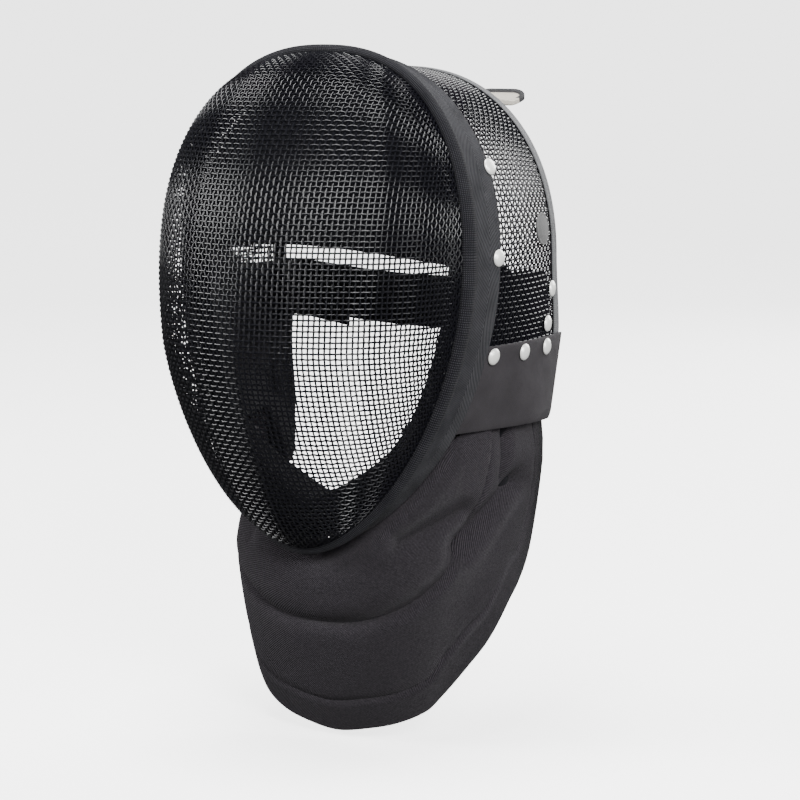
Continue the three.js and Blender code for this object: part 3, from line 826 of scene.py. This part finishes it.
def bib_point(u, v):
    # u runs round from ear to ear, and v down from the upper edge to the lower one
    angle = math.radians(BIB_EDGE_ANGLE) * (2 * u - 1)
    upper, lower = bib_edges[round(u * BIB_COLUMNS)]
    tucked = smooth((BIB_SEAM - TUCK_BELOW_TAB - upper) / TUCK_EASE)
    z = lerp(upper + TUCK_RISE * tucked, lower, v)
    tuck = TUCK_INSET * tucked * (1 - smooth((upper + TUCK_RISE - z) / TUCK_LENGTH))
    hollow = HOLLOW_DEPTH * smooth((z - HOLLOW_LEVEL) / HOLLOW_EASE)
    hollow *= groove(abs(math.degrees(angle)) - HOLLOW_ANGLE, HOLLOW_HALF_WIDTH)
    return bib_spot(angle, z, BIB_THICKNESS / 2 + tuck + hollow - bib_relief(angle, z, upper, lower))


BIB_DARK = (0.007, 0.0063, 0.0078)
BIB_PALE = (0.074, 0.0665, 0.0765)
bib_twill, tree, shader = cloth_finish(
    "black_twill", roughness=0.9, gloss=0.08, fuzz=0.04, fuzz_roughness=0.45)
lengthwise, over = cloth_axes(tree)
twill_lines = ribs(tree, maths(tree, "ADD", lengthwise, over), 0.0017)
worn = maths(tree, "MULTIPLY", maths(tree, "MULTIPLY_ADD", twill_lines, 0.65, 0.2), noise(tree, 900))
color_between(tree, shader, worn, BIB_DARK, BIB_PALE)
add_bump(tree, shader, twill_lines, depth=0.0004)
add_bump(tree, shader, noise(tree, 35, 4.0), depth=0.0025, strength=0.6)
bib = cloth_grid("throat_bib", bib_point, BIB_FLAT_SIZE, columns=BIB_COLUMNS, rows=110)
modify(bib, "SOLIDIFY", thickness=BIB_THICKNESS / 1000, offset=0)
modify(bib, "BEVEL", width=0.002, segments=3, limit_method="ANGLE")
fit_piece(bib, bib_twill, "bib")


# Inner padding
# Pads of foam in brushed black cloth line the crown, the cheeks and the chin. Each is a closed shell
# with rounded edges, glued and stitched inside the wires.
CROWN_PAD_THICKNESS = 12
CROWN_PAD_FRONT_REACH = 66
CROWN_PAD_CENTRE_BACK = 30
CROWN_PAD_LENGTH = 450
CROWN_PAD_EDGE_RISE = 9.5
CROWN_PAD_EDGE_DROP = 15
CHEEK_PAD_TOP = -13
CHEEK_PAD_FRONT_TOP = 0
CHEEK_PAD_BOTTOM = -105
CHEEK_PAD_REAR = 109
CHEEK_PAD_REAR_LAP = 5
CHEEK_PAD_LENGTH = 200
CHEEK_PAD_FRONT_GAP = 2.6
CHEEK_PAD_TURN = 62
CHEEK_PAD_TOP_EASE = 26
CHEEK_PAD_BOTTOM_EASE = 34
JAW_PAD_TOP = -96
JAW_PAD_EASE = 40
JAW_PAD_BOTTOM = -146
JAW_PAD_REAR = 82
JAW_PAD_THICKNESS = 24
JAW_PAD_INSET = 4
PAD_THICKNESS = 10
PAD_CLEAR = 3.3
CHIN_PAD_TOP = -101.6
CHIN_PAD_HEIGHT = 25
CHIN_PAD_DEPTH = 44
CHIN_PAD_END_DEPTH = 24
CHIN_PAD_LENGTH = 240
CHIN_PAD_CLEAR = 2.4
CHIN_PAD_FRONT_GAP = 1.3
CHIN_PAD_LOW_START = 0.6
PAD_DARK = (0.002, 0.002, 0.0028)
PAD_PALE = (0.01, 0.01, 0.0125)
crown_share = CROWN_PAD_CENTRE_BACK / HOOD_DEPTH
CROWN_TOP = hood(math.pi / 2, crown_share, -PAD_CLEAR).z
CROWN_HALF_WIDTH = hood(0, crown_share, -PAD_CLEAR).x


def pad_section(v, ends, squareness=4.0):
    # Round the section of a pad: the share of the way over its width, and from its outer to its inner face
    turn = 2 * math.pi * v
    width = 0.5 + 0.5 * signed_power(math.cos(turn), 2 / squareness)
    face = 0.5 + 0.5 * signed_power(math.sin(turn), 2 / squareness) * ends
    return width, face


def rounded_end(u, length, thickness):
    # Thins a pad towards its two ends, over half its thickness
    left = min(u, 1 - u) * length / (thickness / 2)
    return math.sqrt(max(1 - max(1 - left, 0) ** 2, 0))


def crown_point(u, v):
    # The pad is a quarter of a dome: u runs from side to side over the forehead, and v round the section
    width, face = pad_section(v, rounded_end(u, CROWN_PAD_LENGTH, CROWN_PAD_THICKNESS))
    inset = face * CROWN_PAD_THICKNESS
    around = math.pi * (u - 0.5)
    x0 = (CROWN_HALF_WIDTH - inset) * math.sin(around)
    low = CROWN_PAD_EDGE_RISE - CROWN_PAD_EDGE_DROP * (x0 / CROWN_HALF_WIDTH) ** 2
    rise = lerp(math.asin(low / (CROWN_TOP - inset)), math.pi / 2, width)
    return (
        x0 * math.cos(rise),
        CROWN_PAD_CENTRE_BACK - (CROWN_PAD_FRONT_REACH - inset) * math.cos(around) * math.cos(rise),
        (CROWN_TOP - inset) * math.sin(rise),
    )


def cheek_point(side):
    # The front part of each pad is short, and its rear part reaches down the jaw inside the bib
    def at(u, v):
        width, face = pad_section(v, rounded_end(u, CHEEK_PAD_LENGTH, PAD_THICKNESS), 5.0)
        past_turn = u * CHEEK_PAD_REAR - CHEEK_PAD_TURN
        top = lerp(CHEEK_PAD_TOP, CHEEK_PAD_FRONT_TOP, smooth(-past_turn / CHEEK_PAD_TOP_EASE))
        bottom = lerp(CHEEK_PAD_BOTTOM, JAW_PAD_BOTTOM, smooth(past_turn / CHEEK_PAD_BOTTOM_EASE))
        level = lerp(top, bottom, width)
        t = rim_angle(max(level, CHEEK_PAD_BOTTOM))
        jaw = min(max((JAW_PAD_TOP - level) / JAW_PAD_EASE, 0), 1)
        rear = lerp(CHEEK_PAD_REAR, JAW_PAD_REAR, jaw)
        back = lerp(CHEEK_PAD_FRONT_GAP, rear - RimPoint(t).y + CHEEK_PAD_REAR_LAP * (1 - face), u)
        inset = PAD_CLEAR + face * lerp(PAD_THICKNESS, JAW_PAD_THICKNESS, jaw)
        spot = hood(t, back / hood_length(t), -inset)
        return side * (spot.x - JAW_PAD_INSET * jaw), spot.y, spot.z + min(level - CHEEK_PAD_BOTTOM, 0)
    return at


def chin_point(u, v):
    # The pad runs from cheek to cheek, and is highest and deepest under the chin
    width, face = pad_section(v, rounded_end(u, CHIN_PAD_LENGTH, PAD_THICKNESS))
    start = rim_angle(CHIN_PAD_TOP)
    rim = RimPoint(lerp(start, -math.pi - start, u))
    low = smooth((abs(rim.rise) - CHIN_PAD_LOW_START) / (1 - CHIN_PAD_LOW_START))
    inset = CHIN_PAD_CLEAR + face * lerp(PAD_THICKNESS, CHIN_PAD_HEIGHT, low)
    back = lerp(CHIN_PAD_FRONT_GAP, lerp(CHIN_PAD_END_DEPTH, CHIN_PAD_DEPTH, low), width)
    return rim.x - inset * rim.out_x, rim.y + back, rim.z - inset * rim.out_z


brushed_cloth, tree, shader = cloth_finish(
    "brushed_cloth", roughness=0.95, gloss=0.05, fuzz=0.03, fuzz_roughness=0.6)
fluff = noise(tree, 700, 6.0)
color_between(tree, shader, fluff, PAD_DARK, PAD_PALE)
add_bump(tree, shader, fluff, depth=0.0008)
add_bump(tree, shader, noise(tree, 30, 4.0), depth=0.003, strength=0.6)


def out_of_itself(piece):
    # Turns the faces of a closed shell outwards
    bm = bmesh.new()
    bm.from_mesh(piece.data)
    bmesh.ops.recalc_face_normals(bm, faces=bm.faces)
    bm.to_mesh(piece.data)
    bm.free()


PADS = [
    {"name": "crown_lining", "node": "crown_pad", "at": crown_point, "size": (250, 220), "columns": 96},
    {"name": "cheek_lining_left", "node": "cheek_pad_left", "at": cheek_point(1), "size": (105, 190),
     "columns": 56},
    {"name": "cheek_lining_right", "node": "cheek_pad_right", "at": cheek_point(-1), "size": (105, 190),
     "columns": 56},
    {"name": "chin_lining", "node": "chin_pad", "at": chin_point, "size": (240, 90), "columns": 96},
]
for pad in PADS:
    lining = cloth_grid(pad["name"], pad["at"], pad["size"], pad["columns"], rows=64)
    out_of_itself(lining)
    fit_piece(lining, brushed_cloth, pad["node"])


# Back strap
# Two overlapping halves of black woven elastic web that arch across behind the head. They are seated on
# the rear ends of the cheek pads, and closed by the nap of the one on the loops of the other.
STRAP_TOP = -12
STRAP_SAG = 9
STRAP_HEIGHT = 33
STRAP_THICKNESS = 2
STRAP_LAYER_GAP = 1
STRAP_BOW = 30
STRAP_SEAT_SHARE = 0.92
STRAP_GAP = 0.4
STRAP_SEAT = hood(rim_angle(STRAP_TOP), STRAP_SEAT_SHARE, -PAD_CLEAR - PAD_THICKNESS - STRAP_GAP)
STRAP_OUTER_END = -84
STRAP_INNER_END = -56
STRAP_HALF_ROUND = 170 / 0.9
WEB_DARK = (0.002, 0.002, 0.0028)
WEB_PALE = (0.014, 0.014, 0.017)


def strap_point(start, end, inset, drop):
    # start and end are shares of the half turn from one side to the other, and run on straight beyond it
    def at(u, v):
        angle = math.pi * lerp(start, end, u)
        depth = inset + STRAP_THICKNESS / 2
        level = STRAP_TOP - STRAP_SAG * math.sin(angle) ** 2 - v * STRAP_HEIGHT - drop * (1 - u) * v
        if 0 < angle < math.pi:
            x, back = math.cos(angle), math.sin(angle)
        else:
            x, back = (1, angle) if angle <= 0 else (-1, math.pi - angle)
        return (STRAP_SEAT.x - depth) * x, STRAP_SEAT.y + (STRAP_BOW - depth) * back, level
    return at


def strap_place(x):
    return math.acos(x / STRAP_SEAT.x) / math.pi


elastic_web, tree, shader = cloth_finish("elastic_web", roughness=0.85, gloss=0.1, fuzz=0.04)
lengthwise, over = cloth_axes(tree)
web_ribs = weave_of(tree, lengthwise, over, 0.0016, 0.0024)
worn = maths(tree, "MULTIPLY", web_ribs, noise(tree, 60))
color_between(tree, shader, worn, WEB_DARK, WEB_PALE)
add_bump(tree, shader, web_ribs, depth=0.0005)
STRAPS = [
    {"name": "strap_outer", "node": "back_strap_left", "start": -0.2, "end": strap_place(STRAP_OUTER_END),
     "inset": 0.0, "drop": 0.0},
    {"name": "strap_inner", "node": "back_strap_right", "start": strap_place(STRAP_INNER_END), "end": 1.2,
     "inset": STRAP_THICKNESS + STRAP_LAYER_GAP, "drop": 5.0},
]
for strap in STRAPS:
    at = strap_point(strap["start"], strap["end"], strap["inset"], strap["drop"])
    length = STRAP_HALF_ROUND * (strap["end"] - strap["start"])
    band = cloth_grid(strap["name"], at, (length, STRAP_HEIGHT), columns=90, rows=12)
    modify(band, "SOLIDIFY", thickness=STRAP_THICKNESS / 1000, offset=0)
    modify(band, "BEVEL", width=0.0006, segments=2, limit_method="ANGLE")
    fit_piece(band, elastic_web, strap["node"])


# Tongue
# A strip of spring steel in a light cloth cover, fixed inside the hood's top rear edge. It slopes down
# behind the head and clamps the mask on it. A grey tape binds its two sides and its rounded end.
TONGUE_WIDTH = 36
TONGUE_THICKNESS = 2.4
TONGUE_CORNER = 10
TONGUE_REACH = 128
TONGUE_DROP = 16
TONGUE_FALL_END = 0.85
TONGUE_LIP = 5
TONGUE_LIP_START = 0.8
TONGUE_LIP_POWER = 1.5
TONGUE_SEAT = 22
TONGUE_GAP = 3.2
TONGUE_UNDER_HOOD = 3.2
TONGUE_EDGE_THICKNESS = 3.4
TONGUE_STRAIGHT_PART = 0.9
TONGUE_ROOT = hood(math.pi / 2, 1, -TONGUE_UNDER_HOOD)
TONGUE_STRAIGHT = TONGUE_SEAT + TONGUE_REACH - TONGUE_CORNER


def tongue_spot(along, x, up):
    share = max(along - TONGUE_SEAT, 0) / TONGUE_REACH
    lip = max((share - TONGUE_LIP_START) / (1 - TONGUE_LIP_START), 0) ** TONGUE_LIP_POWER
    fall = TONGUE_DROP * smooth(share / TONGUE_FALL_END) - TONGUE_LIP * lip
    return x, TONGUE_ROOT.y - TONGUE_SEAT + along, TONGUE_ROOT.z - TONGUE_GAP - fall + up


def tongue_point(u, v):
    turn = math.pi / 2 * max((v - TONGUE_STRAIGHT_PART) / (1 - TONGUE_STRAIGHT_PART), 0)
    along = TONGUE_STRAIGHT * min(v / TONGUE_STRAIGHT_PART, 1) + TONGUE_CORNER * math.sin(turn)
    half = TONGUE_WIDTH / 2 - TONGUE_CORNER + TONGUE_CORNER * math.cos(turn)
    return tongue_spot(along, (2 * u - 1) * half, -TONGUE_THICKNESS / 2)


EDGE_SECTION = [(0.4, 0), (3.0, 0), (3.4, -0.5), (3.4, -2.9), (3.0, -3.4), (0.4, -3.4), (0.4, 0)]
STRAIGHT_SHARE = 0.42
CORNER_SHARE = 0.04
TIP_LIFT = 2
TIP_THICKENING = 0.7
TONGUE_EDGE_FLAT_SIZE = (330, 13)
TIP_ALONG_TAPE = 0.165
TIP_TAPE_REACH = 0.031
COVER_CLEAN = (0.55, 0.52, 0.46)
COVER_STAINED = (0.3, 0.25, 0.19)
SIDE_TAPE_PALE = (0.5, 0.47, 0.41)
TIP_TAPE_GREY = (0.045, 0.045, 0.047)


def tongue_edge_point(u, v):
    # The tape runs up one side, round both corners of the tip and down the other side
    side = 1 if u < 0.5 else -1
    middle = min(u, 1 - u)
    straight = TONGUE_STRAIGHT * min(middle / STRAIGHT_SHARE, 1)
    turn = math.pi / 2 * min(max((middle - STRAIGHT_SHARE) / CORNER_SHARE, 0), 1)
    across = min(max((0.5 - middle) / (0.5 - STRAIGHT_SHARE - CORNER_SHARE), 0), 1)
    half = (TONGUE_WIDTH / 2 - TONGUE_CORNER) * across
    out, up = along_path(EDGE_SECTION, v)
    reach = TONGUE_CORNER + out
    tip = smooth((middle - STRAIGHT_SHARE) / CORNER_SHARE)
    lift = (TONGUE_EDGE_THICKNESS - TONGUE_THICKNESS) / 2 * (1 + TIP_LIFT * tip)
    up *= 1 + TIP_THICKENING * tip
    return tongue_spot(straight + reach * math.sin(turn), side * (half + reach * math.cos(turn)), up + lift)


tongue_cloth, tree, shader = new_finish(
    "light_cloth", roughness=0.75, Sheen_Weight=0.2, Sheen_Roughness=0.5)
stains = noise(tree, 25, 5.0)
color_between(tree, shader, stains, COVER_CLEAN, COVER_STAINED)
lengthwise, over = cloth_axes(tree)
weave = weave_of(tree, lengthwise, over, 0.0008)
add_bump(tree, shader, weave, depth=0.0002)
tongue_tape, tree, shader = new_finish("tongue_tape", roughness=0.8, Specular_IOR_Level=0.1)
lengthwise, over = cloth_axes(tree)
from_tip = maths(tree, "ABSOLUTE", maths(tree, "SUBTRACT", lengthwise, TIP_ALONG_TAPE))
at_tip = maths(tree, "LESS_THAN", from_tip, TIP_TAPE_REACH)
weave = weave_of(tree, lengthwise, over, 0.0009)
color_between(tree, shader, at_tip, SIDE_TAPE_PALE, TIP_TAPE_GREY)
add_bump(tree, shader, weave, depth=0.0003)
tongue_size = (TONGUE_WIDTH, TONGUE_SEAT + TONGUE_REACH)
tongue = cloth_grid("tongue_strip", tongue_point, tongue_size, columns=24, rows=120)
modify(tongue, "SOLIDIFY", thickness=TONGUE_THICKNESS / 1000, offset=0)
modify(tongue, "BEVEL", width=0.0006, segments=2, limit_method="ANGLE")
fit_piece(tongue, tongue_cloth, "tongue")
edge = cloth_grid("tongue_tape", tongue_edge_point, TONGUE_EDGE_FLAT_SIZE, columns=200, rows=24)
out_of_itself(edge)
fit_piece(edge, tongue_tape, "tongue_edge")


# Studio
# A white paper bowl, flat under the mask and curved up far around it, with soft lights on all sides. The
# paper glows a little so that it stays white, and lights nothing itself.
FLOOR_DROP = 0.392
BOWL_PROFILE = [(0, 0), (2.6, 0), (3.4, 0.12), (4.0, 0.5), (4.4, 1.1), (4.6, 2.0), (4.7, 4.5)]
CAMERA_AZIMUTH = math.radians(29)
CAMERA_ELEVATION = math.radians(8)
CAMERA_DISTANCE = 1.55
VIEW_CENTRE_RIGHT = 46.5
VIEW_CENTRE_DOWN = 84
CAMERA_LENS = 118.6
PAPER_GLOW = 2.5
AIR_GLOW = 0.25

paper, tree, shader = new_finish("white_paper", roughness=0.9)
shader.inputs["Base Color"].default_value = (0.9, 0.9, 0.9, 1)
shader.inputs["Emission Color"].default_value = (1, 1, 1, 1)
shader.inputs["Emission Strength"].default_value = PAPER_GLOW
bm = spin_profile([(radius, rise - FLOOR_DROP) for radius, rise in BOWL_PROFILE], 64, 1e-5)
bm.normal_update()
if sum(face.normal.z for face in bm.faces) < 0:
    bmesh.ops.reverse_faces(bm, faces=bm.faces)
bowl = mesh_piece("paper_bowl", bm)
bowl.data.materials.append(paper)
bowl.visible_diffuse = False
bowl.visible_glossy = False

sine, cosine = math.sin(CAMERA_AZIMUTH), math.cos(CAMERA_AZIMUTH)
level = math.cos(CAMERA_ELEVATION)
forward = Vector((-sine * level, cosine * level, -math.sin(CAMERA_ELEVATION)))
rightward = Vector((cosine, sine, 0))
target = place(VIEW_CENTRE_RIGHT * rightward.x, VIEW_CENTRE_RIGHT * rightward.y, -VIEW_CENTRE_DOWN)
camera_data = bpy.data.cameras.new("camera")
camera_data.lens = CAMERA_LENS
camera_data.sensor_width = 36
camera_data.clip_end = 50
camera = piece_of("camera", camera_data)
camera.location = target - forward * CAMERA_DISTANCE
camera.rotation_euler = forward.to_track_quat("-Z", "Y").to_euler()
bpy.context.scene.camera = camera

MIDDLE_OF_MASK = Vector((0, 0.05, -0.18))
LIGHTS = [
    {"name": "back_softbox", "spot": (0.5, 2.2, 0.6), "size": 1.2, "watts": 50},
    {"name": "right_softbox", "spot": (2.3, -0.2, 0.3), "size": 1.0, "watts": 34},
    {"name": "front_softbox", "spot": (1.7, -1.6, 1.0), "size": 0.8, "watts": 108},
    {"name": "left_softbox", "spot": (-1.8, -1.0, 0.4), "size": 0.8, "watts": 62},
    {"name": "top_softbox", "spot": (-0.1, -0.3, 2.2), "size": 1.0, "watts": 105},
]
for light in LIGHTS:
    data = bpy.data.lights.new(light["name"], "AREA")
    data.energy = light["watts"]
    data.size = light["size"]
    lamp = piece_of(light["name"], data)
    lamp.location = light["spot"]
    lamp.rotation_euler = (MIDDLE_OF_MASK - lamp.location).to_track_quat("-Z", "Y").to_euler()

world = bpy.data.worlds.new("studio_air")
world.use_nodes = True
world.node_tree.nodes["Background"].inputs["Color"].default_value = (1, 1, 1, 1)
world.node_tree.nodes["Background"].inputs["Strength"].default_value = AIR_GLOW
bpy.context.scene.world = world
